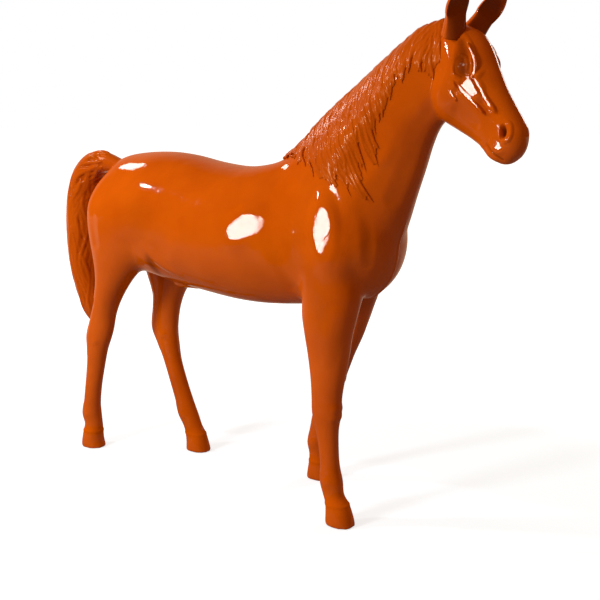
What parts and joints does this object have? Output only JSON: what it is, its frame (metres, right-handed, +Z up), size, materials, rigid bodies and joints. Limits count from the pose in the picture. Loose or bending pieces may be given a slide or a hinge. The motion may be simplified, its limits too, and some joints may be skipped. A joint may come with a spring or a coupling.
{
  "type": "resin horse sculpture",
  "caption": "Life-size standing horse sculpture in gloss orange resin: bonded hollow shells, cast legs, ears, mane and tail on an inner steel frame, with threaded floor bushes in the hooves.",
  "frame": {"origin": "on the floor, under the middle of the figure's box", "axes": "+X towards the head, +Y to the horse's left, +Z up"},
  "size_m": [2.4333, 0.5771, 2.1063],
  "materials": {
    "orange_gelcoat": "polished gelcoat over laminated resin",
    "laminate": "rough glass and resin laminate",
    "plywood": "unfinished plywood",
    "frame_steel": "bare mild steel",
    "fastener_steel": "zinc plated"
  },
  "bodies": {
    "root": {"torso_shell_right": "orange_gelcoat", "torso_shell_left": "orange_gelcoat", "neck_shell_right": "orange_gelcoat", "neck_shell_left": "orange_gelcoat", "head_shell_right": "orange_gelcoat", "head_shell_left": "orange_gelcoat", "ear_right": "orange_gelcoat", "ear_left": "orange_gelcoat", "mane": "orange_gelcoat", "tail": "orange_gelcoat", "fore_leg_right": "orange_gelcoat", "fore_leg_left": "orange_gelcoat", "hind_leg_right": "orange_gelcoat", "hind_leg_left": "orange_gelcoat", "neck_collar": "laminate", "head_collar": "laminate", "back_seam_strip": "laminate", "belly_seam_strip": "laminate", "fore_former": "plywood", "hind_former": "plywood", "neck_former": "plywood", "tail_block": "plywood", "spine_beam": "frame_steel", "fore_plate": "frame_steel", "hind_plate": "frame_steel", "neck_post": "frame_steel", "fore_rod_right": "frame_steel", "fore_rod_left": "frame_steel", "hind_rod_right": "frame_steel", "hind_rod_left": "frame_steel", "rod_nuts": "fastener_steel", "rod_washers": "fastener_steel", "beam_bolts": "fastener_steel", "beam_nuts": "fastener_steel", "tail_stud": "fastener_steel", "tail_nut": "fastener_steel", "hoof_bushes": "fastener_steel"}
  },
  "joints": []
}
